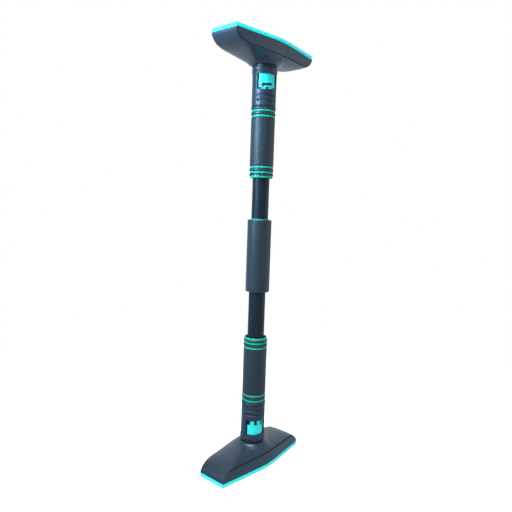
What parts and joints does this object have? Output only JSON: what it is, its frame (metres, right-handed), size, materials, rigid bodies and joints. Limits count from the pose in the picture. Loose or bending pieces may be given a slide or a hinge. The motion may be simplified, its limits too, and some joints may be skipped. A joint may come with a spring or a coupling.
{
  "type": "pull up bar",
  "caption": "Telescopic doorway pull-up bar: padded feet, twist sleeves with soft grips that wind the bar longer, sliding locks and a centre grip.",
  "frame": {"origin": "middle of the lower pad's outer face, on the bar's axis", "axes": "+Z along the bar from the lower to the upper foot, +X along the long side of the feet"},
  "size_m": [0.223, 0.0836, 0.8],
  "materials": {
    "slate_plastic": "satin moulded",
    "slate_foam": "fine matt foam",
    "coated_steel": "satin powder coat",
    "zinc_steel": "zinc plated",
    "spring_steel": "blued",
    "brass": "machined",
    "turquoise_rubber": "matt",
    "turquoise_plastic": "moulded",
    "green_plastic": "moulded",
    "white_plastic": "machined",
    "black_plastic": "moulded"
  },
  "bodies": {
    "lower_foot": {"lower_foot_pad": "turquoise_rubber", "lower_foot_plate": "zinc_steel", "lower_foot_shell": "slate_plastic", "lower_shell_screws": "zinc_steel", "lower_housing_screws": "zinc_steel", "lower_foot_spindle": "zinc_steel", "lower_thrust_washer": "white_plastic", "lower_circlip": "spring_steel", "lower_lock_housing": "slate_plastic", "lower_lock_spring": "spring_steel"},
    "lower_sleeve": {"lower_outer_tube": "coated_steel", "lower_bearing_hub": "white_plastic", "lower_hub_pins": "zinc_steel", "lower_drive_pin": "zinc_steel", "lower_screw_plug": "zinc_steel", "lower_drive_screw": "zinc_steel", "lower_lock_ring": "zinc_steel", "lower_ring_carrier": "slate_plastic", "lower_carrier_rings": "green_plastic", "lower_end_grip": "slate_foam", "lower_end_cap": "slate_plastic", "lower_cap_rings": "green_plastic", "lower_end_ring": "green_plastic", "lower_guide_bush": "black_plastic"},
    "lower_lock": {"lower_lock_slider": "turquoise_plastic"},
    "upper_foot": {"upper_foot_pad": "turquoise_rubber", "upper_foot_plate": "zinc_steel", "upper_foot_shell": "slate_plastic", "upper_shell_screws": "zinc_steel", "upper_housing_screws": "zinc_steel", "upper_foot_spindle": "zinc_steel", "upper_thrust_washer": "white_plastic", "upper_circlip": "spring_steel", "upper_lock_housing": "slate_plastic", "upper_lock_spring": "spring_steel"},
    "upper_sleeve": {"upper_outer_tube": "coated_steel", "upper_bearing_hub": "white_plastic", "upper_hub_pins": "zinc_steel", "upper_drive_pin": "zinc_steel", "upper_screw_plug": "zinc_steel", "upper_drive_screw": "zinc_steel", "upper_lock_ring": "zinc_steel", "upper_ring_carrier": "slate_plastic", "upper_carrier_rings": "green_plastic", "upper_end_grip": "slate_foam", "upper_end_cap": "slate_plastic", "upper_cap_rings": "green_plastic", "upper_end_ring": "green_plastic", "upper_guide_bush": "black_plastic"},
    "upper_lock": {"upper_lock_slider": "turquoise_plastic"},
    "middle": {"inner_tube": "coated_steel", "grip_liner": "green_plastic", "centre_grip": "slate_foam", "lower_drive_nut": "brass", "lower_nut_pins": "zinc_steel", "upper_drive_nut": "brass", "upper_nut_pins": "zinc_steel"}
  },
  "joints": [
    {"name": "lower_sleeve_turn", "type": "hinge", "parent": "lower_foot", "child": "lower_sleeve", "pos_m": [0, 0, 0.058], "axis": [0, 0, -1], "range_deg": [0, 7200]},
    {"name": "lower_extend", "type": "slide", "parent": "lower_foot", "child": "middle", "axis": [0, 0, 1], "range_m": [0, 0.1]},
    {"name": "lower_lock_slide", "type": "slide", "parent": "lower_foot", "child": "lower_lock", "axis": [0, 0, 1], "range_m": [0, 0.011]},
    {"name": "upper_extend", "type": "slide", "parent": "middle", "child": "upper_foot", "axis": [0, 0, 1], "range_m": [0, 0.1]},
    {"name": "upper_sleeve_turn", "type": "hinge", "parent": "upper_foot", "child": "upper_sleeve", "pos_m": [0, 0, 0.742], "axis": [0, 0, -1], "range_deg": [0, 7200]},
    {"name": "upper_lock_slide", "type": "slide", "parent": "upper_foot", "child": "upper_lock", "axis": [0, 0, -1], "range_m": [-0.0063, 0.0047]}
  ],
  "couplings": [
    {"joint": "lower_extend", "follows": "lower_sleeve_turn", "m_per_rad": 0.00079577},
    {"joint": "upper_extend", "follows": "upper_sleeve_turn", "m_per_rad": 0.00079577}
  ]
}
